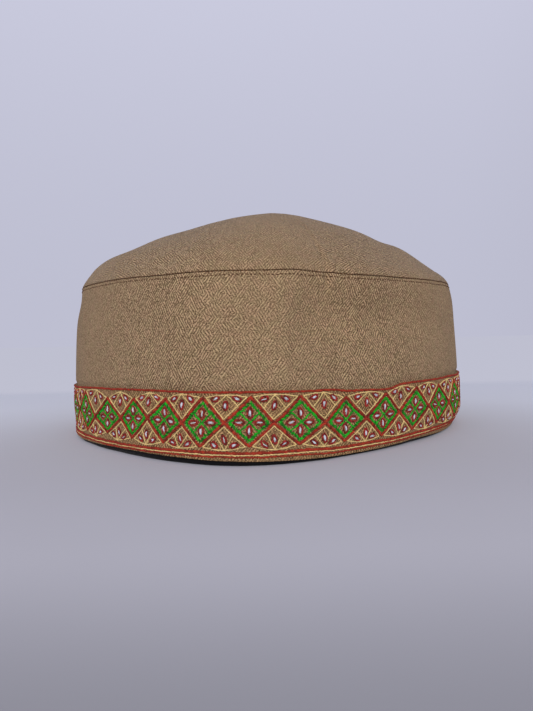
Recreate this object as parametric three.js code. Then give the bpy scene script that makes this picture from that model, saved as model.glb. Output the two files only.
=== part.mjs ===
import * as THREE from "three";

// Kashmiri cap of wool cloth, standing on its hem. Millimetres, +Z up.
// The creased front looks toward -Y and the cap's right-hand side in the picture is +X.
// Angles go round the cap from the front toward +X.

// Plan of the wall's foot: an oval with a soft keel at the front and at the back
const HALF_WIDTH = 92.9;
const HALF_DEPTH = 85.5;
const KEEL_REACH = 13.6;
const KEEL_SPREAD = 25;
const FRONT_KEEL_TURN = -5.5;

// Wall
const SEAM_HEIGHT = 64.2;
const SEAM_WAVE = 0.6;
const WALL_LEAN = 2.9;
const SHOULDER_ROLL = 2.0;
const SHOULDER_POWER = 6;
const WALL_THICKNESS = 1.4;
const WALL_FOOT = 1.9;

// Crown
const CROWN_RISE = 33.7;
const CROWN_POWER = 0.75;
const CROWN_TILT = 1.6;
const CROWN_THICKNESS = 1.6;

// Embroidered border
const BORDER_THICKNESS = 1.0;
const BORDER_PROUD = 0.8;
const BORDER_SEAT_RAMP = 1.5;
const HEM_LIFT = 1.6;
const HEM_LIFT_TURN = -25;
const HEM_LIFT_SPREAD = 35;
const HEM_LOW = 0.35;

// Lining
const LINING_THICKNESS = 1.0;
const FOOT_THICKNESS = 1.5;
const FOOT_BEVEL = 0.3;

const GAP = 0.4;
const EDGE_ROUND = 0.4;
const STEPS_ROUND = 72;

// Height of the border's upper edge round the cap
const BORDER_TOP = [
  { angle: -180, z: 23.6 },
  { angle: -80, z: 21.9 },
  { angle: -45, z: 23.3 },
  { angle: -22, z: 24.0 },
  { angle: 0, z: 23.7 },
  { angle: 12, z: 23.3 },
  { angle: 20, z: 22.4 },
  { angle: 29, z: 21.9 },
  { angle: 36, z: 23.4 },
  { angle: 80, z: 23.8 },
  { angle: 180, z: 23.6 },
];

// Dents and bulges of the wall: where each one is, how far it spreads and how far it pushes out
const WALL_DENTS = [
  { angle: 4, z: 40, turn: 3, tall: 16, push: 0.8 },
  { angle: 9, z: 48, turn: 4.5, tall: 11, push: -1.6 },
  { angle: 30, z: 36, turn: 12, tall: 14, push: 0.6 },
  { angle: 60, z: 0, turn: 24, tall: 6, push: -3.2 },
  { angle: -68, z: 0, turn: 26, tall: 12, push: -1.6 },
];

// Folds of the crown, which run from front to back
const CROWN_FOLDS = [
  { x: 9, width: 16, rise: 2.9 },
  { x: -60, width: 11, rise: -1.6 },
  { x: -34, width: 9, rise: -0.6 },
  { x: 34, width: 14, rise: 0.5 },
  { x: 54, width: 6, rise: -1.9 },
];

// Rows of a wall section from the border to the seam, and of a crown section from its rim to the middle
const WALL_ROWS = [0.3, 0.55, 0.77, 0.92, 1];
const CROWN_ROWS = [1, 0.985, 0.95, 0.9, 0.83, 0.74, 0.62, 0.48, 0.32, 0.14];

const radians = (degrees) => (degrees * Math.PI) / 180;
const bell = (offset, spread) => Math.exp(-((offset / spread) ** 2));

// Difference of two angles in degrees, from -180 to 180
function turnBetween(a, b) {
  return ((((a - b + 180) % 360) + 360) % 360) - 180;
}

// Smooth reading of a table of angles and heights
function readTable(rows, angle) {
  const at = turnBetween(angle, 0);
  const next = rows.findIndex((row) => row.angle > at);
  const low = rows[next - 1];
  const high = rows[next];
  const share = (at - low.angle) / (high.angle - low.angle);
  return low.z + (high.z - low.z) * (1 - Math.cos(Math.PI * share)) * 0.5;
}

// Radius of the plan at the foot
function planRadius(angle) {
  const t = radians(angle);
  const oval = 1 / Math.hypot(Math.sin(t) / HALF_WIDTH, Math.cos(t) / HALF_DEPTH);
  const front = bell(turnBetween(angle, FRONT_KEEL_TURN), KEEL_SPREAD);
  const back = bell(turnBetween(angle, 180), KEEL_SPREAD);
  return oval + KEEL_REACH * (front + back);
}

function seamHeight(angle) {
  return SEAM_HEIGHT - SEAM_WAVE * Math.cos(2 * radians(angle));
}

// Radius of the wall's middle face, from which every upright layer is measured
function wallRadius(angle, z) {
  const share = Math.max(z, 0) / seamHeight(angle);
  let radius = planRadius(angle) - WALL_LEAN * share - SHOULDER_ROLL * share ** SHOULDER_POWER;
  for (const dent of WALL_DENTS) {
    radius += dent.push * bell(turnBetween(angle, dent.angle), dent.turn) * bell(z - dent.z, dent.tall);
  }
  return radius;
}

// Middle of the plan along Y, which comes to the origin
const planEnds = Array.from({ length: STEPS_ROUND }, (_, step) => {
  const angle = (360 * step) / STEPS_ROUND;
  return -(wallRadius(angle, 8) + BORDER_PROUD) * Math.cos(radians(angle));
});
const PLAN_MIDDLE = (Math.max(...planEnds) + Math.min(...planEnds)) / 2;

function placed(angle, radius, z) {
  const t = radians(angle);
  return [radius * Math.sin(t), -radius * Math.cos(t) - PLAN_MIDDLE, z];
}

// Point of the crown: share 1 is the rim at the seam and 0 is the middle of the top
function crownPoint(angle, share, inset) {
  const t = radians(angle);
  const radius = (wallRadius(angle, seamHeight(angle)) - inset) * share;
  const inward = 1 - share * share;
  let z = seamHeight(angle) * share * share + SEAM_HEIGHT * inward + GAP / 2;
  z += (CROWN_RISE - inset) * inward ** CROWN_POWER;
  for (const fold of CROWN_FOLDS) {
    z += fold.rise * inward * bell(radius * Math.sin(t) - fold.x, fold.width);
  }
  z -= CROWN_TILT * Math.sin(t) * bell(share - 0.9, 0.1) * Math.min(1, (1 - share) / 0.06);
  return placed(angle, radius, z);
}

// Closed faceted body built from rings of corners
class Body {
  constructor() {
    this.corners = [];
    this.faces = [];
  }

  corner(point) {
    this.corners.push(...point);
    return this.corners.length / 3 - 1;
  }

  ring(pointAt) {
    const indices = [];
    for (let step = 0; step < STEPS_ROUND; step += 1) {
      indices.push(this.corner(pointAt((360 * step) / STEPS_ROUND)));
    }
    return indices;
  }

  strip(from, to) {
    from.forEach((a, step) => {
      const next = (step + 1) % STEPS_ROUND;
      this.faces.push(a, from[next], to[next], a, to[next], to[step]);
    });
  }

  fan(ring, tip, outward) {
    ring.forEach((a, step) => {
      const b = ring[(step + 1) % STEPS_ROUND];
      this.faces.push(...(outward ? [a, b, tip] : [b, a, tip]));
    });
  }

  mesh(name, material) {
    const geometry = new THREE.BufferGeometry();
    geometry.setAttribute("position", new THREE.Float32BufferAttribute(this.corners, 3));
    geometry.setIndex(this.faces);
    geometry.computeVertexNormals();
    const mesh = new THREE.Mesh(geometry, material);
    mesh.name = name;
    return mesh;
  }
}

// Upright layer: section(angle) lists radius and height counterclockwise, inner foot first
function layer(name, material, section) {
  const body = new Body();
  const count = section(0).length;
  const rings = Array.from({ length: count }, (_, row) =>
    body.ring((angle) => placed(angle, section(angle)[row].radius, section(angle)[row].z)),
  );
  rings.forEach((ring, row) => body.strip(ring, rings[(row + 1) % count]));
  return body.mesh(name, material);
}

// Domed layer of the crown's thickness
function dome(name, material) {
  const body = new Body();
  const skin = (share, inset) => body.ring((angle) => crownPoint(angle, share, inset));
  const outer = CROWN_ROWS.map((share, row) => skin(share, row === 0 ? EDGE_ROUND : 0));
  const inner = CROWN_ROWS.map((share) => skin(share, CROWN_THICKNESS));
  for (let row = 1; row < outer.length; row += 1) {
    body.strip(outer[row - 1], outer[row]);
    body.strip(inner[row], inner[row - 1]);
  }
  body.strip(inner[0], outer[0]);
  body.fan(outer[outer.length - 1], body.corner(crownPoint(0, 0, 0)), true);
  body.fan(inner[inner.length - 1], body.corner(crownPoint(0, 0, CROWN_THICKNESS)), false);
  return body.mesh(name, material);
}

// Depths under the wall's outer face; behind the border the layers step back to make room for it
const seat = BORDER_THICKNESS + GAP - BORDER_PROUD;
const liningFace = WALL_THICKNESS + GAP;
const liningBack = liningFace + LINING_THICKNESS;
const borderBack = BORDER_THICKNESS - BORDER_PROUD;

function layerRadius(angle, z, inset) {
  const behindBorder = z < readTable(BORDER_TOP, angle) + GAP + 0.1;
  return wallRadius(angle, z) - inset - (behindBorder ? seat : 0);
}

// Faces of one upright layer between two heights: outer face going up, then inner face going down
function facesBetween(angle, low, high, outerInset, innerInset, edge) {
  const seatTop = readTable(BORDER_TOP, angle) + GAP;
  const rampTop = seatTop + BORDER_SEAT_RAMP;
  const upper = WALL_ROWS.map((share) => rampTop + (high - rampTop) * share);
  const heights = [low, (low + seatTop) / 2, seatTop, rampTop, ...upper];
  const last = heights.length - 1;
  const outer = heights.map((z, row) => {
    return { radius: layerRadius(angle, z, outerInset + (row === last ? edge : 0)), z };
  });
  const inner = heights.map((z) => ({ radius: layerRadius(angle, z, innerInset), z }));
  return [...outer, ...inner.reverse()];
}

function wallSection(angle) {
  const top = seamHeight(angle) - GAP / 2;
  return facesBetween(angle, WALL_FOOT, top, 0, WALL_THICKNESS, EDGE_ROUND);
}

function borderSection(angle) {
  const lift = HEM_LIFT * bell(turnBetween(angle, HEM_LIFT_TURN), HEM_LIFT_SPREAD);
  const low = HEM_LOW + lift;
  const high = readTable(BORDER_TOP, angle);
  const corner = (inset, z) => ({ radius: wallRadius(angle, z) - inset, z });
  return [
    corner(borderBack, low),
    corner(borderBack - BORDER_THICKNESS / 2, low),
    corner(-BORDER_PROUD, low + EDGE_ROUND),
    corner(-BORDER_PROUD, (low + high) / 2),
    corner(-BORDER_PROUD, high - EDGE_ROUND),
    corner(borderBack - BORDER_THICKNESS / 2, high),
    corner(borderBack, high),
    corner(borderBack, (low + high) / 2),
  ];
}

// The lining's foot turns out under the wall and rests on the table
function liningSection(angle) {
  const top = seamHeight(angle) - GAP / 2;
  const foot = layerRadius(angle, 0, 0);
  const back = layerRadius(angle, 0, liningBack);
  return [
    { radius: back + FOOT_BEVEL, z: 0 },
    { radius: foot - FOOT_BEVEL, z: 0 },
    { radius: foot, z: FOOT_BEVEL },
    { radius: foot, z: FOOT_THICKNESS - FOOT_BEVEL },
    { radius: foot - FOOT_BEVEL, z: FOOT_THICKNESS },
    ...facesBetween(angle, FOOT_THICKNESS, top, liningFace, liningBack, 0),
    { radius: back, z: FOOT_BEVEL },
  ];
}

const wool = new THREE.MeshStandardMaterial({ color: 0x8e775f, roughness: 0.95, metalness: 0 });
wool.name = "wool_cloth";
const stitched = new THREE.MeshStandardMaterial({ color: 0x8c6a44, roughness: 0.9, metalness: 0 });
stitched.name = "embroidered_wool";
const black = new THREE.MeshStandardMaterial({ color: 0x15151b, roughness: 0.85, metalness: 0 });
black.name = "lining_cloth";

const cap = new THREE.Group();
cap.name = "kashmiri_cap";
cap.add(
  dome("crown_panel", wool),
  layer("side_wall", wool, wallSection),
  layer("border_band", stitched, borderSection),
  layer("lining_wall", black, liningSection),
);

export default cap;
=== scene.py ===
"""Kashmiri cap: wool cloth, seams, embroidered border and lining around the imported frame, with its stage."""

import math
from collections import namedtuple

import bmesh
import bpy
import numpy as np
from bpy.props import FloatProperty, FloatVectorProperty, IntProperty, PointerProperty
from mathutils import Matrix


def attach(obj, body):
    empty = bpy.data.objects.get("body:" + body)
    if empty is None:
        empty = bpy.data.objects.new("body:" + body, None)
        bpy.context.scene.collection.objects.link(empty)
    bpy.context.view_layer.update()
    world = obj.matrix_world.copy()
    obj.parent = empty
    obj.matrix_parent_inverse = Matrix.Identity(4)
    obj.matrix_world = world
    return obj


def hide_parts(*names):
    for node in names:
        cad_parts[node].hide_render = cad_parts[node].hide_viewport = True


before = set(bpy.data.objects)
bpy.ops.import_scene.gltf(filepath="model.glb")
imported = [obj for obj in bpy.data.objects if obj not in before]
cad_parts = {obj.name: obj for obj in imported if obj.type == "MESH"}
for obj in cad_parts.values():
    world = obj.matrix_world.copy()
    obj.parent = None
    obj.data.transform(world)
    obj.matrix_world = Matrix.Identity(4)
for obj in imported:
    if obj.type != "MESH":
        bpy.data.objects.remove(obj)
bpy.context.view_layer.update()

bl_info = {
    "name": "Kashmiri cap",
    "version": (1, 0, 0),
    "blender": (4, 5, 0),
    "location": "3D View > Sidebar > Cap",
    "description": "Builds an embroidered wool cap around its packed solids",
    "category": "Object",
}

MM = 0.001

# Angles go round the cap in degrees from the front (-Y) toward +X, and lengths are in millimetres.
Edge = namedtuple("Edge", "angle z")
# A dent spreads turn degrees and tall millimetres, and pushes the cloth out, or in where push is negative
Dent = namedtuple("Dent", "angle z turn tall push")
# A fold of the crown runs from front to back at x
Fold = namedtuple("Fold", "x width rise")
Ripple = namedtuple("Ripple", "waves climb phase push")
# A diamond's left, upper and lower corners: how far each stands from even spacing, and its height
Placed = namedtuple("Placed", "index side side_z top top_z foot foot_z")
# A kind of stitch: its spacing, the thread's length, width and height, its slant in degrees, how far it
# strays aside in millimetres and swings in degrees, and the bounds of its tint, from deep 0 to bright 1
Stitch = namedtuple("Stitch", "pitch length width height slant wander swing deep bright")
Leaf = namedtuple("Leaf", "half_length half_width")
# A cell between two diamonds: which way it widens, where its inner lines meet its sides, its petals' leans
Cell = namedtuple("Cell", "rise meeting left_lean right_lean")

# Height of the border's upper edge
BORDER_TOP = (
    Edge(-180, 23.6), Edge(-80, 21.9), Edge(-45, 23.3), Edge(-22, 24.0), Edge(0, 23.7), Edge(12, 23.3),
    Edge(20, 22.4), Edge(29, 21.9), Edge(36, 23.4), Edge(80, 23.8), Edge(180, 23.6),
)
# How far the crown seam stands above or below its even height
SEAM_SHIFT = (
    Edge(-180, 0.0), Edge(-90, 0.5), Edge(-60, 1.2), Edge(-42, 1.2), Edge(-20, 0.4), Edge(0, 0.1),
    Edge(6, 0.4), Edge(13, -0.2), Edge(22, -0.8), Edge(45, -1.0), Edge(65, -0.8), Edge(105, 0.0),
    Edge(180, 0.0),
)
# Height of the diamonds' lower corners, which the lines along the hem follow
PATTERN_FOOT = (
    Edge(-180, 6.0), Edge(-80, 5.4), Edge(-43, 5.7), Edge(-13, 6.4), Edge(6, 6.2), Edge(17, 5.5),
    Edge(27, 5.6), Edge(38, 5.8), Edge(50, 6.3), Edge(110, 5.9), Edge(180, 6.0),
)
# The hand's sway in the diamonds round the front; the others get a small random one
PLACED = (
    Placed(-5, 0.5, 12.0, 1.7, 20.0, 1.8, 6.7), Placed(-4, 2.9, 13.1, 2.9, 20.8, 1.9, 6.5),
    Placed(-3, 2.1, 14.3, 2.7, 21.6, 1.5, 6.6), Placed(-2, 1.3, 13.6, 0.9, 22.2, -0.4, 6.3),
    Placed(-1, -0.3, 14.2, -0.1, 22.3, -0.9, 6.6), Placed(0, -1.3, 13.8, -0.6, 22.0, -1.4, 6.4),
    Placed(1, -0.2, 12.5, 0.2, 20.5, -1.0, 5.5), Placed(2, 0.4, 12.5, 1.8, 20.4, -1.2, 5.5),
    Placed(3, -0.3, 13.1, 1.5, 21.4, -1.1, 5.8), Placed(4, 0.2, 13.7, 0.4, 21.1, -1.5, 6.4),
)
# Main dents of the wall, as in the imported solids
WALL_DENTS = (
    Dent(4, 40, 3, 16, 0.8),
    Dent(9, 48, 4.5, 11, -1.6),
    Dent(30, 36, 12, 14, 0.6),
    Dent(60, 0, 24, 6, -3.2),
    Dent(-68, 0, 26, 12, -1.6),
)
# Small creases and shallow hollows of the dressed cloth
CREASES = (
    Dent(14.2, 60.5, 0.8, 4.5, -1.0),
    Dent(15.7, 61, 0.9, 5, 0.4),
    Dent(5.3, 33, 0.8, 7, -0.45),
    Dent(-24, 46, 3.5, 22, -0.35),
    Dent(-33, 40, 3, 20, 0.3),
    Dent(22, 54, 5, 7, -0.35),
    Dent(-85, 60, 30, 7, -1.2),
    Dent(88, 58, 25, 9, 0.6),
    Dent(72, 0, 14, 7, -1.6),
    Dent(-55, 0, 22, 7, 0.9),
    Dent(33, 47, 20, 9, -3.4),
    Dent(24, 62, 14, 8, 1.6),
    Dent(15, 48, 6.5, 14, -2.9),
    Dent(3.5, 50, 2.6, 13, 0.45),
    Dent(45, -1, 18, 5.5, -1.0),
)
# Small dimples of the dressed crown, then its main folds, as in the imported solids
CROWN_DIMPLES = (Fold(3, 10, -0.7), Fold(50, 7, -0.9))
CROWN_FOLDS = (
    Fold(9, 16, 2.9), Fold(-60, 11, -1.6), Fold(-34, 9, -0.6), Fold(34, 14, 0.5), Fold(54, 6, -1.9),
)
# Unevenness of soft cloth, all round the wall
RIPPLES = (
    Ripple(7, 0.05, 0.6, 0.10), Ripple(12, -0.07, 2.1, 0.10), Ripple(19, 0.11, 4.0, 0.08),
    Ripple(31, 0.16, 1.3, 0.05), Ripple(46, -0.23, 5.2, 0.03),
)

# Form of the wall and the crown
KEEL_SPREAD = 25
FRONT_KEEL_TURN = -5.5
SEAM_WAVE = 0.6
WALL_LEAN = 2.9
SHOULDER_ROLL = 2.0
SHOULDER_POWER = 6
CROWN_POWER = 0.75
CROWN_TILT = 1.6
CROWN_TILT_SHARE = 0.9
CROWN_TILT_SPREAD = 0.1
CROWN_TILT_FADE = 0.06
PUFF_RISE = 0.22
PUCKER_RISE = 0.10

# Layers of cloth, their edges and the gaps between them
WALL_FOOT = 1.9
BORDER_PROUD = 0.8
BORDER_FACE = 0.45
BORDER_RISE = 0.5
BORDER_SEAT_RAMP = 1.5
HEM_LIFT = 1.6
HEM_LIFT_TURN = -25
HEM_LIFT_SPREAD = 35
HEM_LOW = 0.35
TUCK_TURN = 42
TUCK_SPREAD = 15
TUCK_BORDER_LIFT = 0.9
TUCK_WALL_LIFT = 0.2
FOOT_THICKNESS = 1.5
FOOT_ROUND = 0.4
FOOT_NICK = 0.1
LINING_INSET = 1.8
LAYER_GAP = 0.4
SEAM_GAP = 0.05
SEAM_EDGE = 0.26
SEAM_ROW_DROP = 1.35

# Faces of the dressed layers; where two numbers stand, they are the rows of the outer and the inner face
PLAN_STEPS = 72
COLUMNS = 480
FRONT_CROWDING = 0.55
WALL_ROWS = (66, 22)
BORDER_ROWS = (26, 8)
LINING_ROWS = 18
CROWN_ROWS = 60
RIM_ANGLES = np.linspace(0, math.pi, 7)[1:-1]

# Lengths round the cap are measured at these heights
WALL_ARC_HEIGHT = 30.0
BORDER_ARC_HEIGHT = 14.0
ARC_HALF_STEPS = 720

# Cloth
TWILL_PITCH = 0.9
LEFT_RIB_LEAN = -58.0
RIGHT_RIB_LEAN = 52.0
LINING_PITCH = 0.55
WARM_SHEEN = (1.0, 0.95, 0.9)
COOL_SHEEN = (0.9, 0.95, 1.0)

# Embroidery pattern, in millimetres on the border
DIAMONDS_ROUND = 34
FIRST_JUNCTION = 3.35
JUNCTION_Z = 13.6
TOP_TIP_DROP = 2.0
DIAMOND_REACH = 5.5
GREEN_INSET = 1.15
TOP_RED_DROP = 0.4
TOP_YELLOW_DROP = 1.15
FOOT_RED_DROP = 2.0
FOOT_LINE_STEP = 0.68
CREST_OVER_FOOT = 0.85
TIP_CLEARANCE = 1.15
RIM_SWELL = 0.2
CORNER_SWAY = (0.5, 0.4, 0.6, 0.3, 0.6, 0.3)
LEAF_REACHES = (3.15, 2.9, 3.15, 2.9)
LEAF_HEADINGS = (0, 90, 0, 90)
DIAMOND_LEAF = Leaf(1.7, 0.88)
CORNER_LEAF = Leaf(1.4, 0.7)
APEX_LEAF = Leaf(1.55, 0.72)
UPPER_CELL = Cell(1.0, 0.56, 20, -36)
LOWER_CELL = Cell(-1.0, 0.42, -30, 28)
BEND_POINTS = 5
LEAF_POINTS = 17
ROUND_POINTS = 481
WAVER = 0.35
WAVER_SPAN = 12

# Kinds of stitch
SEAM_ROW = Stitch(1.46, 0.95, 0.4, 0.24, -5, 0.05, 4, 0.0, 0.5)
SEAM_LINE = Stitch(1.46, 0.9, 0.34, 0.2, -3, 0.05, 4, 0.3, 0.9)
RED_SIDE = Stitch(1.0, 1.7, 0.9, 0.75, -13, 0.08, 6, 0.0, 1.0)
RED_TOP = Stitch(1.1, 1.7, 0.74, 0.6, -9, 0.05, 4, 0.2, 0.8)
RED_FOOT = Stitch(1.05, 1.7, 0.98, 0.65, -9, 0.05, 4, 0.2, 0.8)
RED_HEM = Stitch(1.2, 1.6, 0.6, 0.55, -9, 0.05, 4, 0.2, 0.8)
GREEN_SIDE = Stitch(0.42, 1.25, 0.46, 0.6, -50, 0.14, 14, 0.0, 1.0)
GREEN_VEIN = Stitch(0.6, 1.15, 0.52, 0.5, -14, 0.08, 9, 0.1, 1.0)
YELLOW_SIDE = Stitch(1.1, 1.55, 0.37, 0.42, -4, 0.04, 4, 0.1, 1.0)
YELLOW_RIB = Stitch(1.05, 1.4, 0.35, 0.42, -4, 0.04, 4, 0.1, 1.0)
YELLOW_FOOT = Stitch(1.1, 1.5, 0.42, 0.42, -4, 0.05, 4, 0.4, 1.0)
PETAL_RING = Stitch(0.9, 1.15, 0.74, 0.6, -12, 0.1, 13, 0.0, 0.9)
# Single stitches vary this much in length and width
HAND_SPAN = (0.88, 1.12)
# White strands in a petal: how far each lies from its middle, and its length as a share of half the petal's
PETAL_STRANDS = ((0.0, 1.4), (-0.23, 1.0), (0.23, 1.0))
STRAND_WIDTH = 0.28
STRAND_HEIGHT = 0.68
STRANDS_MISSED = 0.22

# Camera at the photograph's place and angle, in metres and degrees
CAMERA_PLACE = (0.00018, -0.27025, 0.04044)
CAMERA_TILT = 88.402
CAMERA_ROLL = -1.395
LENS_LENGTH = 27.04
SENSOR_WIDTH = 36.0
NEAR_CLIP = 0.01

# Soft light from a window behind the camera
WINDOW_POWER = 3.85
WINDOW_SIZE = 0.4
WINDOW_PLACE = (0.0, -0.95, 0.39)
WINDOW_TILT = 70
WINDOW_TONE = (1.0, 0.985, 0.96)


def bell(offset, spread):
    return np.exp(-((offset / spread) ** 2))


def turn_between(a, b):
    return (a - b + 180.0) % 360.0 - 180.0


def smooth_step(low, high, value):
    share = np.clip((value - low) / (high - low), 0.0, 1.0)
    return share * share * (3.0 - 2.0 * share)


def read_table(rows, angle):
    """Cosine-eased reading of a table of angles and heights."""
    at = turn_between(np.asarray(angle, float), 0.0)
    angles = np.array([row.angle for row in rows], float)
    heights = np.array([row.z for row in rows], float)
    high = np.clip(np.searchsorted(angles, at, side="right"), 1, len(rows) - 1)
    low = high - 1
    share = (at - angles[low]) / (angles[high] - angles[low])
    return heights[low] + (heights[high] - heights[low]) * (1 - np.cos(math.pi * share)) * 0.5


def dented(radius, dents, angle, z):
    """A radius with a table of dents."""
    for dent in dents:
        push = dent.push * bell(turn_between(angle, dent.angle), dent.turn)
        radius = radius + push * bell(z - dent.z, dent.tall)
    return radius


class Shape:
    """The cap's form in millimetres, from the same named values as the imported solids."""

    def __init__(self, sizes):
        self.half_width = sizes.half_width / MM
        self.half_depth = sizes.half_depth / MM
        self.keel_reach = sizes.keel_reach / MM
        self.seam = sizes.seam_height / MM
        self.crown_rise = sizes.crown_rise / MM
        self.wall_thickness = sizes.wall_thickness / MM
        self.crown_thickness = sizes.crown_thickness / MM
        self.border_thickness = sizes.border_thickness / MM
        self.lining_thickness = sizes.lining_thickness / MM
        self.seat = self.border_thickness + LAYER_GAP - BORDER_PROUD
        angle = np.arange(PLAN_STEPS) * 360.0 / PLAN_STEPS
        reach = -(self.main_radius(angle, 8.0) + BORDER_PROUD) * np.cos(np.radians(angle))
        self.plan_middle = (reach.max() + reach.min()) / 2

    def plan_radius(self, angle):
        t = np.radians(angle)
        oval = 1 / np.hypot(np.sin(t) / self.half_width, np.cos(t) / self.half_depth)
        front = bell(turn_between(angle, FRONT_KEEL_TURN), KEEL_SPREAD)
        back = bell(turn_between(angle, 180.0), KEEL_SPREAD)
        return oval + self.keel_reach * (front + back)

    def seam_height(self, angle):
        return self.seam - SEAM_WAVE * np.cos(2 * np.radians(angle)) + read_table(SEAM_SHIFT, angle)

    def main_radius(self, angle, z):
        """Radius of the wall's face with its main dents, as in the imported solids."""
        share = np.maximum(z, 0.0) / self.seam_height(angle)
        radius = self.plan_radius(angle) - WALL_LEAN * share - SHOULDER_ROLL * share**SHOULDER_POWER
        return dented(radius, WALL_DENTS, angle, z)

    def wall_radius(self, angle, z):
        """The same face with its small creases and the unevenness of soft cloth."""
        radius = dented(self.main_radius(angle, z), CREASES, angle, z)
        for ripple in RIPPLES:
            turn = ripple.waves * np.radians(angle) + ripple.phase
            radius = radius + ripple.push * np.sin(turn + ripple.climb * z)
        return radius

    def border_top(self, angle):
        return read_table(BORDER_TOP, angle) + BORDER_RISE

    def tuck(self, angle):
        """Share of the small lift where the hem is tucked under at the right of the front."""
        return bell(turn_between(angle, TUCK_TURN), TUCK_SPREAD)

    def border_low(self, angle):
        lift = HEM_LIFT * bell(turn_between(angle, HEM_LIFT_TURN), HEM_LIFT_SPREAD)
        return HEM_LOW + lift + TUCK_BORDER_LIFT * self.tuck(angle)

    def wall_low(self, angle):
        return WALL_FOOT + TUCK_WALL_LIFT * self.tuck(angle)

    def wall_high(self, angle):
        return self.seam_height(angle) - SEAM_GAP

    def lining_low(self, angle):
        return TUCK_WALL_LIFT * self.tuck(angle)

    def lining_high(self, angle):
        return self.seam_height(angle) - LAYER_GAP / 2

    def seat_step(self, angle, z):
        """How far the layers step back behind the border."""
        top = self.border_top(angle) + LAYER_GAP
        return self.seat * (1 - smooth_step(top, top + BORDER_SEAT_RAMP, z))

    def place(self, angle, radius, z):
        t = np.radians(angle)
        return np.stack([radius * np.sin(t), -radius * np.cos(t) - self.plan_middle, z], -1)

    def crown_point(self, angle, share, inset, lift):
        t = np.radians(angle)
        radius = (self.wall_radius(angle, self.seam_height(angle)) - inset) * share
        inward = 1 - share * share
        z = self.seam_height(angle) * share * share + self.seam * inward + lift
        z = z + (self.crown_rise - inset) * np.maximum(inward, 0.0) ** CROWN_POWER
        x, y = radius * np.sin(t), -radius * np.cos(t)
        for fold in CROWN_FOLDS + CROWN_DIMPLES:
            z = z + fold.rise * inward * bell(x - fold.x, fold.width)
        fade = np.minimum(1, (1 - share) / CROWN_TILT_FADE)
        z = z - CROWN_TILT * np.sin(t) * bell(share - CROWN_TILT_SHARE, CROWN_TILT_SPREAD) * fade
        z = z + inward * PUFF_RISE * np.sin(x / 9.0 + 0.8 * np.sin(y / 17.0)) * np.cos(y / 12.0 + 0.5)
        z = z + inward * PUCKER_RISE * np.sin(x / 4.3 + y / 6.1)
        return self.place(angle, radius, z)


def link_piece(mesh, material, slot, *nodes):
    """A finished mesh becomes a piece of the object that rides on its one body."""
    piece = bpy.data.objects.new(mesh.name, mesh)
    bpy.context.scene.collection.objects.link(piece)
    mesh.materials.append(material)
    mesh.polygons.foreach_set("use_smooth", np.ones(len(mesh.polygons), bool))
    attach(piece, "root")
    if nodes:
        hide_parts(*nodes)


def column_angle(turn):
    """Angle of a column of faces; the columns stand closest round the creased front."""
    even = -180 + 360 * turn
    return even - np.degrees(FRONT_CROWDING * np.sin(np.radians(even)))


def cloth_mesh(name, columns, rows, place, flat):
    """Closed cloth form from one grid; place and flat turn shares from 0 to 1 into millimetres."""
    mesh = bpy.data.meshes.new(name)
    bm = bmesh.new()
    bmesh.ops.create_grid(bm, x_segments=columns, y_segments=rows, size=0.5)
    bm.to_mesh(mesh)
    grid = np.empty(len(mesh.vertices) * 3)
    mesh.vertices.foreach_get("co", grid)
    turn, row = grid.reshape(-1, 3)[:, 0] + 0.5, grid.reshape(-1, 3)[:, 1] + 0.5
    corners = np.empty(len(mesh.loops), np.int64)
    mesh.loops.foreach_get("vertex_index", corners)
    cut = mesh.uv_layers.new(name="UVMap")
    cut.uv.foreach_set("vector", flat(turn, row)[corners].ravel())
    mesh.vertices.foreach_set("co", (place(turn, row) * MM).ravel())
    bm.clear()
    bm.from_mesh(mesh)
    bmesh.ops.remove_doubles(bm, verts=bm.verts, dist=2e-6)
    bmesh.ops.recalc_face_normals(bm, faces=bm.faces)
    bm.to_mesh(mesh)
    bm.free()
    return mesh


def rolled_section(thickness, edge, outer_rows, inner_rows):
    """Closed section of a layer with round edges, as rows of (share of height, lift, inset)."""
    half = thickness / 2
    outer = [(share, edge * (1 - 2 * share), 0.0) for share in np.linspace(0, 1, outer_rows)]
    top = [(1.0, edge * (math.sin(a) - 1), half * (1 - math.cos(a))) for a in RIM_ANGLES]
    inner = [(share, edge * (1 - 2 * share), thickness) for share in np.linspace(1, 0, inner_rows)]
    foot = [(0.0, edge * (1 - math.sin(a)), half * (1 + math.cos(a))) for a in RIM_ANGLES]
    return np.array([*outer, *top, *inner, *foot, outer[0]])


def lining_section(thickness, rows):
    """Closed section of the lining: an upright wall behind the cloth and a foot turned out under the hem."""
    front = LINING_INSET
    back = front + thickness
    turn = FOOT_ROUND
    nick = FOOT_NICK
    foot = [
        (0.0, turn, 0.0), (0.0, FOOT_THICKNESS - turn, 0.0), (0.0, FOOT_THICKNESS - nick, nick),
        (0.0, FOOT_THICKNESS, turn), (0.0, FOOT_THICKNESS, front - turn),
        (0.0, FOOT_THICKNESS + nick, front - nick),
    ]
    high = FOOT_THICKNESS + turn
    up = [(share, high * (1 - share) - turn * share, front) for share in np.linspace(0, 1, rows)]
    top = [(1.0, -nick, front + nick), (1.0, 0.0, (front + back) / 2), (1.0, -nick, back - nick)]
    down = [(share, turn * (1 - 2 * share), back) for share in np.linspace(1, 0, rows)]
    sole = [(0.0, nick, back - nick), (0.0, 0.0, back - turn), (0.0, 0.0, turn), (0.0, nick, nick)]
    return np.array([*foot, *up, *top, *down, *sole, foot[0]])


def section_path(section, height):
    """Length along a section, from its first row."""
    z = section[:, 0] * height + section[:, 1]
    steps = np.hypot(np.diff(z), np.diff(section[:, 2]))
    return np.concatenate([[0.0], np.cumsum(steps)])


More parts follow.
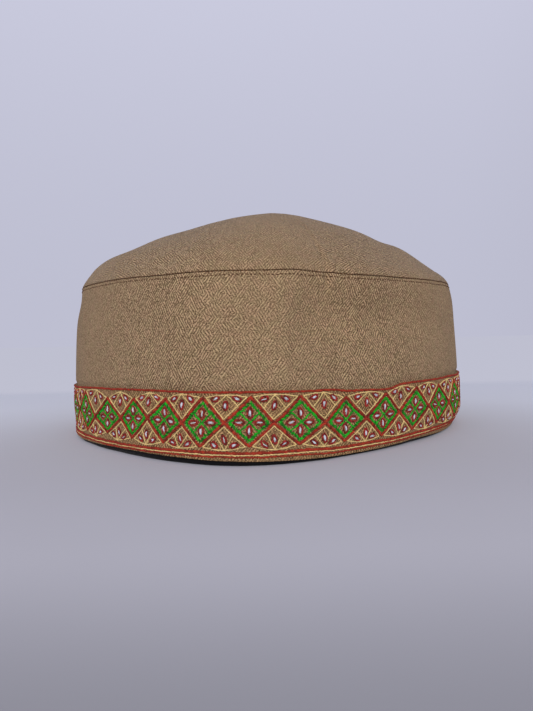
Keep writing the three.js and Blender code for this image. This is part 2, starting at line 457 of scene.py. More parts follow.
def arc_table(shape, z, proud):
    """Angles round the cap and the length along it, from the front, at one height."""
    angle = np.linspace(-180, 180, 2 * ARC_HALF_STEPS + 1)
    points = shape.place(angle, shape.main_radius(angle, z) + proud, np.full_like(angle, z))
    steps = np.linalg.norm(np.diff(points, axis=0), axis=1)
    length = np.concatenate([[0.0], np.cumsum(steps)])
    return angle, length - length[ARC_HALF_STEPS]


def layer_mesh(name, shape, section, low, high, proud=0.0, stepped=True):
    """Upright layer round the whole cap; low and high give its heights at an angle, and a stepped one makes
    room for the border."""
    path = section_path(section, float(high(0.0) - low(0.0)))
    angles, arc = arc_table(shape, WALL_ARC_HEIGHT, 0.0)

    def rows_at(row):
        return np.rint(row * (len(section) - 1)).astype(int)

    def place(turn, row):
        angle = column_angle(turn)
        share, lift, inset = section[rows_at(row)].T
        z = low(angle) + (high(angle) - low(angle)) * share + lift
        radius = shape.wall_radius(angle, z) + proud - inset
        if stepped:
            radius = radius - shape.seat_step(angle, z)
        return shape.place(angle, radius, z)

    def flat(turn, row):
        return np.stack([np.interp(column_angle(turn), angles, arc), path[rows_at(row)]], -1)

    return cloth_mesh(name, COLUMNS, len(section) - 1, place, flat)


def crown_section(thickness):
    """The crown's section, from its outer middle over the rim to its inner middle, in the same rows."""
    half = thickness / 2

    def lift(share):
        return SEAM_GAP + LAYER_GAP / 2 + (SEAM_EDGE - LAYER_GAP / 2) * share**8

    spaced = 1 - (1 - np.linspace(0, 1, CROWN_ROWS)) ** 1.5
    outer = [(share, lift(share), 0.0) for share in spaced]
    rim = [(1.0, SEAM_GAP + SEAM_EDGE * (1 - math.sin(a)), half * (1 - math.cos(a))) for a in RIM_ANGLES]
    inner = [(share, lift(share), thickness) for share in spaced[::-2]]
    if inner[-1][0] > 0:
        inner.append((0.0, lift(0.0), thickness))
    return np.array([*outer, *rim, *inner])


def crown_mesh(name, shape):
    section = crown_section(shape.crown_thickness)
    profile = shape.crown_point(np.zeros(len(section)), section[:, 0], section[:, 2], section[:, 1])
    path = np.concatenate([[0.0], np.cumsum(np.linalg.norm(np.diff(profile, axis=0), axis=1))])
    rim = int(np.argmax(section[:, 2] > shape.crown_thickness * 0.7))

    def rows_at(row):
        return np.rint(row * (len(section) - 1)).astype(int)

    def place(turn, row):
        share, lift, inset = section[rows_at(row)].T
        return shape.crown_point(column_angle(turn), share, inset, lift)

    def flat(turn, row):
        t = np.radians(column_angle(turn))
        reach = np.minimum(path, np.maximum(2 * path[rim] - path, 0.0))[rows_at(row)]
        return np.stack([reach * np.sin(t), -reach * np.cos(t)], -1)

    return cloth_mesh(name, COLUMNS, len(section) - 1, place, flat)


class Wire:
    """A shader value that takes part in Python arithmetic, with one Math node for each operator."""

    def __init__(self, paint, socket):
        self.paint = paint
        self.socket = socket

    def math(self, operation, *others):
        inputs = dict(enumerate((self, *others)))
        return self.paint.node("ShaderNodeMath", {"operation": operation}, inputs)

    def __add__(self, other):
        return self.math("ADD", other)

    def __radd__(self, other):
        return self.math("ADD", other)

    def __sub__(self, other):
        return self.math("SUBTRACT", other)

    def __rsub__(self, other):
        return self.paint.node("ShaderNodeMath", {"operation": "SUBTRACT"}, {0: other, 1: self})

    def __mul__(self, other):
        return self.math("MULTIPLY", other)

    def __rmul__(self, other):
        return self.math("MULTIPLY", other)

    def sine(self):
        return self.math("SINE")

    def smooth(self, low, high):
        settings = {"interpolation_type": "SMOOTHSTEP"}
        inputs = {"Value": self, "From Min": low, "From Max": high}
        return self.paint.node("ShaderNodeMapRange", settings, inputs)


class Paint:
    """The nodes of one material, or of the room's light."""

    def __init__(self, owner):
        owner.use_nodes = True
        self.owner = owner
        self.tree = owner.node_tree
        self.tree.nodes.clear()

    def node(self, kind, settings=None, inputs=None, output=0):
        """Adds a node, sets it up, fills its sockets and returns one of its outputs."""
        made = self.tree.nodes.new(kind)
        for key, value in (settings or {}).items():
            setattr(made, key, value)
        for key, value in (inputs or {}).items():
            if isinstance(value, Wire):
                self.tree.links.new(value.socket, made.inputs[key])
            else:
                made.inputs[key].default_value = value
        return Wire(self, made.outputs[output]) if len(made.outputs) else None

    def cloth_place(self):
        """The piece's own cut pattern, in millimetres."""
        return self.node("ShaderNodeUVMap", {"uv_map": "UVMap"})

    def split(self, vector):
        return [self.node("ShaderNodeSeparateXYZ", None, {0: vector}, axis) for axis in range(3)]

    def vector(self, x, y, z):
        return self.node("ShaderNodeCombineXYZ", None, {0: x, 1: y, 2: z})

    def noise(self, vector, scale, detail=2.0, rough=0.5):
        inputs = {"Vector": vector, "Scale": scale, "Detail": detail, "Roughness": rough}
        return self.node("ShaderNodeTexNoise", {"noise_dimensions": "3D"}, inputs)

    def mix(self, factor, first, second, blend="MIX"):
        settings = {"data_type": "RGBA", "blend_type": blend}
        return self.node("ShaderNodeMix", settings, {0: factor, 6: first, 7: second}, 2)

    def shade(self, colour, factor):
        """A colour made lighter or darker by a value."""
        grey = self.vector(factor, factor, factor)
        return self.node("ShaderNodeVectorMath", {"operation": "MULTIPLY"}, {0: colour, 1: grey})

    def bump(self, height, distance, strength):
        inputs = {"Strength": strength, "Distance": distance, "Height": height}
        return self.node("ShaderNodeBump", None, inputs)

    def finish(self, colour, roughness, normal, specular, sheen, sheen_tint=WARM_SHEEN):
        inputs = {
            "Base Color": colour, "Roughness": roughness, "Normal": normal, "Sheen Weight": sheen,
            "Sheen Roughness": 0.3, "Sheen Tint": (*sheen_tint, 1.0), "Specular IOR Level": specular,
        }
        surface = self.node("ShaderNodeBsdfPrincipled", None, inputs)
        self.node("ShaderNodeOutputMaterial", None, {"Surface": surface})
        return self.owner


def twill(name, light, dark, sheen=0.04, sheen_tint=WARM_SHEEN):
    """Matt wool twill whose ribs lean one way in some patches and the other way in others."""
    paint = Paint(bpy.data.materials.new(name))
    cut = paint.cloth_place()
    x, y, _ = paint.split(cut)
    sway = paint.noise(cut, 0.25, 2.0) - 0.5
    wander = paint.noise(cut, 1.3, 1.0) - 0.5
    x = x + sway * 1.6 + wander * 0.4
    turn = 2 * math.pi / TWILL_PITCH

    def ribs(lean, offset):
        along_x, along_y = math.cos(math.radians(lean)), math.sin(math.radians(lean))
        across = x * along_y - y * along_x
        along = x * along_x + y * along_y
        rib = (across * turn + offset).sine() * 0.5 + 0.5
        yarn = paint.noise(paint.vector(across * (1 / TWILL_PITCH), along * 1.15, offset), 1.0, 1.0, 0.5)
        return rib * (yarn.smooth(0.36, 0.6) * 0.75 + 0.25)

    left = ribs(LEFT_RIB_LEAN, 0.0)
    right = ribs(RIGHT_RIB_LEAN, 1.7)
    patch = paint.noise(cut, 0.19, 2.0, 0.6).smooth(0.46, 0.53)
    weave = left + (right - left) * patch
    fibres = paint.noise(cut, 2.7, 2.0, 0.8)
    cloud = paint.noise(cut, 0.05, 3.0, 0.6)
    tone = paint.noise(cut, 0.4, 2.0, 0.6)
    # The nap is clearest a little way from the front, and lies flatter at the sides
    side = x.math("ABSOLUTE")
    worn = side.smooth(44.0, 86.0)
    nap = (side.smooth(6.0, 36.0) * 0.35 + 0.55) * (1.0 - worn * 0.48)
    level = (weave - 0.34) * nap * 1.15 + (fibres - 0.5) * (3.0 - worn * 1.5) + 0.5
    colour = paint.mix(level, (*dark, 1.0), (*light, 1.0))
    hue = paint.noise(cut, 0.28, 1.0).smooth(0.3, 0.7)
    hues = paint.mix(hue, (0.96, 1.02, 0.94, 1.0), (1.05, 0.98, 1.0, 1.0))
    colour = paint.mix(0.5, colour, hues, "MULTIPLY")
    colour = paint.shade(colour, cloud * 0.25 + tone * 0.25 + 0.75)
    normal = paint.bump(weave + fibres * 0.8, 0.00028, 0.8)
    return paint.finish(colour, 0.92, normal, 0.06, sheen, sheen_tint)


def thread(name, deep, bright, sheen):
    """Twisted yarn whose stitches each have their own tint between two colours."""
    paint = Paint(bpy.data.materials.new(name))
    tint = paint.node("ShaderNodeAttribute", {"attribute_name": "tint"}, None, "Fac")
    place = paint.node("ShaderNodeTexCoord", None, None, "Object")
    fleck = paint.noise(place, 1500.0, 2.0, 0.6)
    colour = paint.mix(tint + (fleck - 0.5) * 0.5, (*deep, 1.0), (*bright, 1.0))
    normal = paint.bump(paint.noise(place, 4200.0, 1.0, 0.6), 0.00012, 0.7)
    return paint.finish(colour, 0.7, normal, 0.3, sheen, bright)


def cotton(name, colour):
    """Plain black lining cotton with a fine even weave."""
    paint = Paint(bpy.data.materials.new(name))
    cut = paint.cloth_place()
    x, y, _ = paint.split(cut)
    turn = 2 * math.pi / LINING_PITCH
    weave = (x * turn).sine() * (y * turn).sine()
    dust = paint.noise(cut, 0.5, 3.0, 0.6)
    shade = paint.shade(tuple(colour), weave * 0.12 + dust * 0.6 + 0.7)
    normal = paint.bump(weave + dust, 0.00015, 0.6)
    return paint.finish(shade, 0.85, normal, 0.2, 0.1)


class Ground:
    """A face of the cap that stitches lie on, read by length round the cap and height."""

    def __init__(self, shape, proud, z):
        self.shape = shape
        self.proud = proud
        self.angles, self.arc = arc_table(shape, z, proud)
        self.round = self.arc[-1] - self.arc[0]

    def angle(self, s):
        wrapped = (s - self.arc[0]) % self.round + self.arc[0]
        return np.interp(wrapped, self.arc, self.angles)

    def point(self, s, z):
        angle = self.angle(s)
        return self.shape.place(angle, self.shape.wall_radius(angle, z) + self.proud, z)

    def frame(self, s, z):
        """Where a stitch lies, and the directions round the cap, up the cloth and out of it."""
        here = self.point(s, z)
        round_ = self.point(s + 0.2, z) - self.point(s - 0.2, z)
        up = self.point(s, z + 0.2) - self.point(s, z - 0.2)
        out = np.cross(round_, up)
        unit = [v / np.linalg.norm(v, axis=1, keepdims=True) for v in (round_, up, out)]
        return (here, *unit)


def stitch_template():
    """One thread end to end along X, one unit long each way, which dives into the cloth at its ends."""
    bm = bmesh.new()
    lying = Matrix.Rotation(math.pi / 2, 4, "Y")
    bmesh.ops.create_uvsphere(bm, u_segments=6, v_segments=4, radius=1.0, matrix=lying)
    bm.verts.ensure_lookup_table()
    for vert in bm.verts:
        x = vert.co.x
        swell = 1.18 if abs(x) > 0.3 else 1.0
        vert.co.x = x * (1.1 if 0.3 < abs(x) < 0.9 else 1.0)
        vert.co.y *= swell
        vert.co.z = vert.co.z * swell - 0.9 * x * x
    corners = np.array([vert.co for vert in bm.verts])
    faces = [[vert.index for vert in face.verts] for face in bm.faces]
    bm.free()
    return corners, faces


class Threadwork:
    """Stitches collected as arrays and joined into one mesh."""

    def __init__(self, ground, seed):
        self.ground = ground
        self.random = np.random.default_rng(seed)
        self.rows = []

    def stitches(self, s, z, heading, length, width, height, tint):
        parts = np.broadcast_arrays(s, z, heading, length, width, height, tint)
        self.rows.append(np.stack([np.ravel(part).astype(float) for part in parts], -1))

    def line(self, points, kind):
        """Stitches of one kind along a line of points given by length round the cap and height."""
        points = np.asarray(points, float)
        steps = np.hypot(*np.diff(points, axis=0).T)
        path = np.concatenate([[0.0], np.cumsum(steps)])
        count = max(int(round(path[-1] / kind.pitch)), 1)
        at = (np.arange(count) + 0.5) / count * path[-1]
        s, z = np.interp(at, path, points[:, 0]), np.interp(at, path, points[:, 1])
        segment = np.clip(np.searchsorted(path, at, side="right") - 1, 0, len(steps) - 1)
        run = np.diff(points, axis=0)[segment]
        heading = np.degrees(np.arctan2(run[:, 1], run[:, 0]))
        aside = self.random.normal(0, kind.wander, count)
        s = s - np.sin(np.radians(heading)) * aside
        z = z + np.cos(np.radians(heading)) * aside
        heading = heading + kind.slant + self.random.normal(0, kind.swing, count)
        length = kind.length * self.random.uniform(*HAND_SPAN, count)
        width = kind.width * self.random.uniform(*HAND_SPAN, count)
        tint = self.random.uniform(kind.deep, kind.bright, count)
        self.stitches(s, z, heading, length, width, kind.height, tint)

    def mesh(self, name):
        s, z, heading, length, width, height, tint = np.concatenate(self.rows).T
        here, round_, up, out = self.ground.frame(s, z)
        turn = np.radians(heading)[:, None]
        along = round_ * np.cos(turn) + up * np.sin(turn)
        across = np.cross(out, along)
        corners, faces = stitch_template()
        x = corners[None, :, 0, None] * (length / 2)[:, None, None]
        y = corners[None, :, 1, None] * (width / 2)[:, None, None]
        rise = corners[None, :, 2, None] * (height / 2)[:, None, None] + (height * 0.35)[:, None, None]
        points = here[:, None] + along[:, None] * x + across[:, None] * y + out[:, None] * rise
        starts = range(0, len(s) * len(corners), len(corners))
        joined = [[start + corner for corner in face] for start in starts for face in faces]
        mesh = bpy.data.meshes.new(name)
        mesh.from_pydata(points.reshape(-1, 3) * MM, [], joined)
        shade = mesh.attributes.new("tint", "FLOAT", "POINT")
        shade.data.foreach_set("value", np.repeat(tint, len(corners)))
        return mesh


class Pattern:
    """The border's diamonds: where their corners fall round the cap, with the sway of hand work."""

    def __init__(self, shape, ground):
        self.shape = shape
        self.ground = ground
        self.pitch = ground.round / DIAMONDS_ROUND
        random = np.random.default_rng(11)
        self.sides, self.tops, self.feet = {}, {}, {}
        for index in range(DIAMONDS_ROUND):
            sway = random.normal(0, 1, 6) * np.array(CORNER_SWAY)
            side_s = FIRST_JUNCTION + index * self.pitch
            tip_s = side_s + self.pitch / 2
            top_z = float(self.top(tip_s)) - TOP_TIP_DROP
            self.sides[index] = (sway[0], JUNCTION_Z + sway[1])
            self.tops[index] = (sway[2], top_z + sway[3])
            self.feet[index] = (sway[4], float(self.foot(tip_s)) + sway[5])
        for row in PLACED:
            index = row.index % DIAMONDS_ROUND
            self.sides[index] = (row.side, row.side_z)
            self.tops[index] = (row.top, row.top_z)
            self.feet[index] = (row.foot, row.foot_z)

    def top(self, s):
        return self.shape.border_top(self.ground.angle(np.asarray(s, float)))

    def foot(self, s):
        return read_table(PATTERN_FOOT, self.ground.angle(np.asarray(s, float)))

    def corner(self, table, index, half):
        aside, z = table[index % DIAMONDS_ROUND]
        return np.array([FIRST_JUNCTION + (index + half) * self.pitch + aside, z])

    def junction(self, index):
        return self.corner(self.sides, index, 0.0)

    def tips(self, index):
        return self.corner(self.tops, index, 0.5), self.corner(self.feet, index, 0.5)


def towards(point, middle, distance):
    """A point moved some way towards another."""
    run = middle - point
    return point + run * (distance / np.linalg.norm(run))


def between(first, second, share):
    return first + (second - first) * share


def bent(first, second, sag):
    """A line of points that bows a little aside."""
    share = np.linspace(0, 1, BEND_POINTS)[:, None]
    run = second - first
    aside = np.array([-run[1], run[0]]) / np.linalg.norm(run)
    return first + run * share + aside * sag * np.sin(math.pi * share)


def leaf_points(middle, along, across, leaf):
    """A closed line round a leaf that comes to a point at both ends."""
    turn = np.linspace(0, 2 * math.pi, LEAF_POINTS)
    width = np.sin(turn) * np.abs(np.sin(turn)) ** 0.45 * leaf.half_width
    return middle + np.outer(np.cos(turn) * leaf.half_length, along) + np.outer(width, across)


def linear(red, green, blue):
    """A colour written in the usual 0 to 255 steps, as the linear values that shaders take."""
    return tuple(((v / 255 + 0.055) / 1.055) ** 2.4 for v in (red, green, blue))


def petal(petals, white, middle, heading, leaf):
    """One petal: a ragged ring of back stitches round one to three loose satin stitches."""
    along = np.array([math.cos(math.radians(heading)), math.sin(math.radians(heading))])
    across = np.array([-along[1], along[0]])
    petals.line(leaf_points(middle, along, across, leaf), PETAL_RING)
    for offset, share in PETAL_STRANDS:
        if offset and white.random.random() < STRANDS_MISSED:
            continue
        aside = offset + white.random.normal(0, 0.05)
        spot = middle + across * aside + along * white.random.normal(0, 0.18)
        reach = leaf.half_length * share * white.random.uniform(0.85, 1.1)
        lean = heading + white.random.normal(0, 6)
        tint = white.random.uniform(0.1, 1.0)
        white.stitches(spot[0], spot[1], lean, reach, STRAND_WIDTH, STRAND_HEIGHT, tint)


def diamond(pattern, index, red, green, petals, white):
    """One diamond: red sides, green lines inside them and across, and four petals."""
    left, right = pattern.junction(index), pattern.junction(index + 1)
    top, foot = pattern.tips(index)
    corners = [left, top, right, foot]
    middle = sum(corners) / 4
    for side in range(4):
        first, second = corners[side], corners[(side + 1) % 4]
        red.line(bent(first, second, red.random.normal(0, 0.2)), RED_SIDE)
    inner = [between(corner, middle, GREEN_INSET / DIAMOND_REACH) for corner in corners]
    for side in range(4):
        first, second = inner[side], inner[(side + 1) % 4]
        green.line(bent(first, second, green.random.normal(0, 0.12)), GREEN_SIDE)
    for side in range(2):
        first = between(inner[side], inner[side + 1], 0.5)
        second = between(inner[side + 2], inner[(side + 3) % 4], 0.5)
        green.line(bent(first, second, green.random.normal(0, 0.15)), GREEN_VEIN)
    for corner, reach, heading in zip(corners, LEAF_REACHES, LEAF_HEADINGS):
        spot = towards(middle, corner, reach + petals.random.normal(0, 0.1))
        petal(petals, white, spot, heading + petals.random.normal(0, 7), DIAMOND_LEAF)


def triangle(pattern, index, low, yellow, petals, white):
    """The cell between two diamonds, above or below their meeting point: its lines and three petals."""
    cell = LOWER_CELL if low else UPPER_CELL
    before, after = pattern.tips(index - 1)[low], pattern.tips(index)[low]
    apex_sway = np.array([yellow.random.normal(0, 0.15), cell.rise * yellow.random.uniform(1.0, 1.5)])
    apex = pattern.junction(index) + apex_sway
    start = before + np.array([TIP_CLEARANCE, cell.rise * 0.1])
    end = after + np.array([-TIP_CLEARANCE, cell.rise * 0.1])
    crest = between(start, end, 0.5 + yellow.random.normal(0, 0.03))
    if low:
        crest[1] = float(pattern.foot(crest[0])) - FOOT_RED_DROP + CREST_OVER_FOOT
    else:
        crest[1] = float(pattern.top(crest[0])) - TOP_YELLOW_DROP
    swell = (0.0, cell.rise * RIM_SWELL)
    rim = np.array([start, between(start, crest, 0.5) + swell, crest, between(crest, end, 0.5) + swell, end])
    yellow.line(rim, YELLOW_SIDE)
    for corner, lean in ((start, cell.left_lean), (end, cell.right_lean)):
        yellow.line(bent(apex, corner, yellow.random.normal(0, 0.18)), YELLOW_SIDE)
        meeting = between(apex, corner, cell.meeting + yellow.random.normal(0, 0.05))
        yellow.line([crest, meeting], YELLOW_RIB)
        spot = crest * 0.38 + corner * 0.36 + meeting * 0.26
        petal(petals, white, spot, lean + petals.random.normal(0, 7), CORNER_LEAF)
    upright = 90 - cell.rise * 8 + petals.random.normal(0, 6)
    petal(petals, white, between(apex, crest, 0.56), upright, APEX_LEAF)


def round_line(threads, level, kind):
    """A line of stitches all the way round; level gives its height by length round the cap."""
    arc = threads.ground.arc
    s = np.linspace(arc[0], arc[-1], ROUND_POINTS)
    waver = threads.random.normal(0, WAVER, ROUND_POINTS)
    waver = np.convolve(waver, np.ones(WAVER_SPAN) / WAVER_SPAN, "same")
    waver = waver * np.sin(np.linspace(0, math.pi, ROUND_POINTS)) ** 0.2
    threads.line(np.stack([s, level(s) + waver], -1), kind)


def tinted(name, value, text):
    return FloatVectorProperty(
        name=name, description=text, subtype="COLOR", size=3, min=0.0, max=1.0, default=value,
    )


def measured(name, value, text):
    return FloatProperty(
        name=name, description=text, default=value, min=0.0, unit="LENGTH", subtype="DISTANCE",
    )


class CapSizes(bpy.types.PropertyGroup):
    half_width: measured("Half width", 0.0929, "Half the width of the plan oval at the hem")
    half_depth: measured("Half depth", 0.0855, "Half the depth of the plan oval, without its creased ends")
    keel_reach: measured("Crease reach", 0.0136, "How far the front and back creases stand out of the oval")
    seam_height: measured("Seam height", 0.0642, "Height of the seam between wall and crown")
    crown_rise: measured("Crown rise", 0.0337, "Height of the crown over its seam")
    wall_thickness: measured("Wall cloth", 0.0014, "Thickness of the wall's cloth")
    crown_thickness: measured("Crown cloth", 0.0016, "Thickness of the crown's cloth")
    border_thickness: measured("Border cloth", 0.001, "Thickness of the embroidered border")
    lining_thickness: measured("Lining", 0.001, "Thickness of the lining")
    stitch_pitch: measured("Seam stitch", SEAM_ROW.pitch * MM, "Distance between the stitches under the crown seam")
    seed: IntProperty(
        name="Hand sway", description="Seed of the small unevenness of hand stitching", default=7, min=0,
    )


class CapColours(bpy.types.PropertyGroup):
    wool_light: tinted("Light wool", linear(216, 183, 141), "Lighter yarn of the wool twill")
    wool_dark: tinted("Dark wool", linear(66, 45, 25), "Darker yarn of the wool twill")
    border_light: tinted("Light border wool", linear(212, 169, 119), "Lighter yarn under the embroidery")
    # The border's dark yarn is partly painted shade: darker than the wall's, it stands in for shade in the gaps
    # round the threads
    border_dark_and_shade: tinted("Dark border wool", linear(44, 28, 15), "Darker yarn under the embroidery")
    lining: tinted("Lining", linear(14, 13, 15), "Black lining cotton")
    seam_thread: tinted("Seam thread", linear(118, 76, 42), "Thread of the crown seam")
    red: tinted("Red thread", linear(194, 60, 35), "Outlines of diamonds and lines along the edges")
    crimson: tinted("Crimson thread", linear(184, 50, 46), "Outlines of petals")
    green: tinted("Green thread", linear(34, 206, 38), "Lines inside the diamonds")
    yellow: tinted("Yellow thread", linear(255, 226, 152), "Fine lines between the diamonds")
    white: tinted("White thread", linear(240, 244, 250), "Petals")


def shape_of(context):
    return Shape(context.scene.cap_sizes)


class CAP_OT_crown(bpy.types.Operator):
    """Build the crown with its folds"""
    bl_idname = "cap.crown"
    bl_label = "Crown"

    def execute(self, context):
        colours = context.scene.cap_colours
        cloth = twill("wool_twill_crown", colours.wool_light, colours.wool_dark, 0.14, COOL_SHEEN)
        link_piece(crown_mesh("crown_cloth", shape_of(context)), cloth, "wool_cloth", "crown_panel")
        return {"FINISHED"}


class CAP_OT_wall(bpy.types.Operator):
    """Build the cloth wall"""
    bl_idname = "cap.wall"
    bl_label = "Wall"

    def execute(self, context):
        shape, colours = shape_of(context), context.scene.cap_colours
        section = rolled_section(shape.wall_thickness, SEAM_EDGE, *WALL_ROWS)
        mesh = layer_mesh("wall_cloth", shape, section, shape.wall_low, shape.wall_high)
        cloth = twill("wool_twill", colours.wool_light, colours.wool_dark)
        link_piece(mesh, cloth, "wool_cloth", "side_wall")
        return {"FINISHED"}


class CAP_OT_border(bpy.types.Operator):
    """Build the border strip"""
    bl_idname = "cap.border"
    bl_label = "Border"

    def execute(self, context):
        shape, colours = shape_of(context), context.scene.cap_colours
        section = rolled_section(shape.border_thickness, shape.border_thickness / 2, *BORDER_ROWS)
        low, high = shape.border_low, shape.border_top
        mesh = layer_mesh("border_cloth", shape, section, low, high, proud=BORDER_FACE, stepped=False)
        # The border's darker yarn carries painted shade for the gaps round the threads
        cloth = twill("border_twill", colours.border_light, colours.border_dark_and_shade)
        link_piece(mesh, cloth, "embroidered_wool", "border_band")
        return {"FINISHED"}


class CAP_OT_lining(bpy.types.Operator):
    """Build the lining with its foot"""
    bl_idname = "cap.lining"
    bl_label = "Lining"

    def execute(self, context):
        shape = shape_of(context)
        section = lining_section(shape.lining_thickness, LINING_ROWS)
        mesh = layer_mesh("lining", shape, section, shape.lining_low, shape.lining_high)
        cloth = cotton("lining_cotton", context.scene.cap_colours.lining)
        link_piece(mesh, cloth, "lining_cloth", "lining_wall")
        return {"FINISHED"}


class CAP_OT_seam(bpy.types.Operator):
    """Sew the row of stitches under the crown seam"""
    bl_idname = "cap.seam"
    bl_label = "Crown seam"

    def execute(self, context):
        shape, sizes, colours = shape_of(context), context.scene.cap_sizes, context.scene.cap_colours
        ground = Ground(shape, 0.0, shape.seam - SEAM_ROW_DROP)
        row = Threadwork(ground, sizes.seed)
        pitch = sizes.stitch_pitch / MM

        def seam(s):
            return shape.seam_height(ground.angle(s))

        round_line(row, lambda s: seam(s) - SEAM_ROW_DROP, SEAM_ROW._replace(pitch=pitch))
        round_line(row, seam, SEAM_LINE._replace(pitch=pitch))
        dark = tuple(v * 0.4 for v in colours.seam_thread)
        mesh = row.mesh("seam_stitches")
        link_piece(mesh, thread("seam_thread", dark, colours.seam_thread, 0.05), "wool_cloth")
        return {"FINISHED"}


class CAP_OT_embroidery(bpy.types.Operator):
    """Embroider the diamonds, petals and lines of the border"""
    bl_idname = "cap.embroidery"
    bl_label = "Embroidery"

    def execute(self, context):
        shape, sizes, colours = shape_of(context), context.scene.cap_sizes, context.scene.cap_colours
        ground = Ground(shape, BORDER_FACE, BORDER_ARC_HEIGHT)
        pattern = Pattern(shape, ground)
        red, green, yellow, petals, white = (Threadwork(ground, sizes.seed + step) for step in range(1, 6))
        for index in range(DIAMONDS_ROUND):
            diamond(pattern, index, red, green, petals, white)
            for low in (0, 1):
                triangle(pattern, index, low, yellow, petals, white)

        def over(drop):
            return lambda s: pattern.top(s) - drop

        def under(drop):
            return lambda s: pattern.foot(s) - drop

        round_line(red, over(TOP_RED_DROP), RED_TOP)
        round_line(red, under(FOOT_RED_DROP), RED_FOOT)
        round_line(yellow, under(FOOT_RED_DROP + FOOT_LINE_STEP), YELLOW_FOOT)
        round_line(red, under(FOOT_RED_DROP + 2 * FOOT_LINE_STEP), RED_HEM)
        for name, work, colour, depth in (
            ("border_red_lines", red, colours.red, 0.3), ("diamond_green", green, colours.green, 0.15),
            ("border_yellow", yellow, colours.yellow, 0.72), ("petal_outlines", petals, colours.crimson, 0.3),
            ("petal_fill", white, colours.white, 0.6),
        ):
            deep = tuple(v * depth for v in colour)
            mesh = work.mesh(name)
            link_piece(mesh, thread(name + "_thread", deep, tuple(colour), 0.06), "embroidered_wool")
        return {"FINISHED"}


# Painted light: the table brightens from the first tone at the front to the second toward the back
NEAR_FLOOR_PAINTED_SHADE = linear(204, 203, 208)
FLOOR_TONE = linear(240, 242, 246)
FAR_TONE = linear(189, 190, 206)
# Faint painted light: the table glows a little, short of its far edges
FLOOR_GLOW = (0.036, 0.036, 0.042)
WALL_TONE = linear(197, 198, 217)


def floor_material():
    """Pale table with painted light and shade: it brightens toward the back, its front edge is darker as a painted
    shadow, it has a faint painted glow short of its far edges, and it runs out into the room's own tone.
    """
    paint = Paint(bpy.data.materials.new("table"))
    x, y, _ = paint.split(paint.node("ShaderNodeTexCoord", None, None, "Object"))
    edges = (y.smooth(0.165, 0.215), (0.0 - y).smooth(0.32, 0.40), x.math("ABSOLUTE").smooth(0.32, 0.40))
    far = edges[0].math("MAXIMUM", edges[1]).math("MAXIMUM", edges[2])
    grain = paint.noise(paint.node("ShaderNodeTexCoord", None, None, "Object"), 9.0, 3.0)
    # Painted light: the table brightens toward the back; a painted shadow darkens its front edge
    floor_painted_light = paint.mix(y.smooth(-0.13, 0.08), (*NEAR_FLOOR_PAINTED_SHADE, 1.0), (*FLOOR_TONE, 1.0))
    floor_painted_light = paint.shade(floor_painted_light, (grain * 0.06 + 0.97) * (y.smooth(-0.225, -0.165) * 0.44 + 0.56))
    inputs = {
        "Base Color": paint.mix(far, floor_painted_light, (0.02, 0.02, 0.02, 1.0)), "Roughness": 0.7,
        "Emission Color": paint.mix(far, (*FLOOR_GLOW, 1.0), (*FAR_TONE, 1.0)), "Emission Strength": 1.0,
        "Specular IOR Level": 0.0,
    }
    surface = paint.node("ShaderNodeBsdfPrincipled", None, inputs)
    paint.node("ShaderNodeOutputMaterial", None, {"Surface": surface})
    return paint.owner


def room_light():
    """Even pale room light, a little brighter higher up and dimmer to the right and overhead."""
    paint = Paint(bpy.data.worlds.new("room"))
    x, _, z = paint.split(paint.node("ShaderNodeTexCoord", None, None, "Generated"))
    level = (z * z * 0.45 + 0.92) * (1.0 - x.smooth(0.3, 0.6) * 0.06) * (1.0 - z.smooth(0.55, 0.85) * 0.6)
    colour = paint.shade(WALL_TONE, level)
    background = paint.node("ShaderNodeBackground", None, {"Color": colour, "Strength": 1.0})
    paint.node("ShaderNodeOutputWorld", None, {"Surface": background})
    return paint.owner


def window_light():
    lamp = bpy.data.lights.new("window", "AREA")
    lamp.energy, lamp.size, lamp.color = WINDOW_POWER, WINDOW_SIZE, WINDOW_TONE
    holder = bpy.data.objects.new("window", lamp)
    holder.location = WINDOW_PLACE
    holder.rotation_euler = (math.radians(WINDOW_TILT), 0.0, 0.0)
    bpy.context.scene.collection.objects.link(holder)


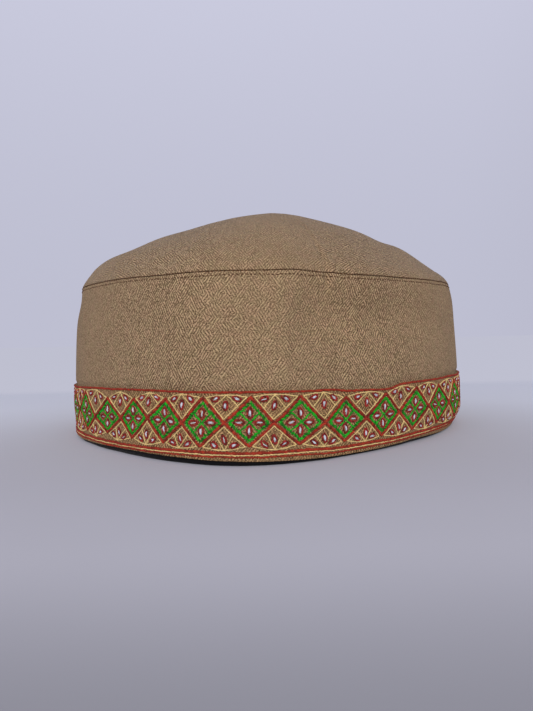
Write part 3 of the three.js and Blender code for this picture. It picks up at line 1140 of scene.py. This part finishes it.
class CAP_OT_stage(bpy.types.Operator):
    """Set up the floor, the soft light and the camera"""
    bl_idname = "cap.stage"
    bl_label = "Stage"

    def execute(self, context):
        scene = context.scene
        mesh = bpy.data.meshes.new("table")
        bm = bmesh.new()
        bmesh.ops.create_grid(bm, x_segments=4, y_segments=4, size=20.0)
        bmesh.ops.translate(bm, verts=bm.verts, vec=(0.0, 0.0, -0.0001))
        bm.to_mesh(mesh)
        bm.free()
        mesh.materials.append(floor_material())
        table = bpy.data.objects.new("table", mesh)
        scene.collection.objects.link(table)

        scene.world = room_light()
        scene.view_settings.view_transform = "Standard"
        window_light()

        lens = bpy.data.cameras.new("camera")
        lens.lens, lens.sensor_width, lens.clip_start = LENS_LENGTH, SENSOR_WIDTH, NEAR_CLIP
        camera = bpy.data.objects.new("camera", lens)
        tilt = Matrix.Rotation(math.radians(CAMERA_TILT), 4, "X")
        roll = Matrix.Rotation(math.radians(CAMERA_ROLL), 4, "Z")
        camera.matrix_world = Matrix.Translation(CAMERA_PLACE) @ tilt @ roll
        scene.collection.objects.link(camera)
        scene.camera = camera
        return {"FINISHED"}


STEPS = (
    CAP_OT_crown, CAP_OT_wall, CAP_OT_border, CAP_OT_lining, CAP_OT_seam, CAP_OT_embroidery, CAP_OT_stage,
)


class CAP_PT_panel(bpy.types.Panel):
    """Sizes, colours and building steps of the cap"""
    bl_idname = "CAP_PT_panel"
    bl_label = "Kashmiri cap"
    bl_space_type = "VIEW_3D"
    bl_region_type = "UI"
    bl_category = "Cap"

    def draw(self, context):
        for group in (context.scene.cap_sizes, context.scene.cap_colours):
            box = self.layout.box()
            for name in group.__annotations__:
                box.prop(group, name)
        for step in STEPS:
            self.layout.operator(step.bl_idname)


CLASSES = (CapSizes, CapColours, *STEPS, CAP_PT_panel)


def register():
    for cls in CLASSES:
        bpy.utils.register_class(cls)
    bpy.types.Scene.cap_sizes = PointerProperty(type=CapSizes)
    bpy.types.Scene.cap_colours = PointerProperty(type=CapColours)


def unregister():
    del bpy.types.Scene.cap_colours
    del bpy.types.Scene.cap_sizes
    for cls in reversed(CLASSES):
        bpy.utils.unregister_class(cls)


def main():
    register()
    for step in STEPS:
        family, name = step.bl_idname.split(".")
        getattr(getattr(bpy.ops, family), name)()


if __name__ == "__main__":
    main()
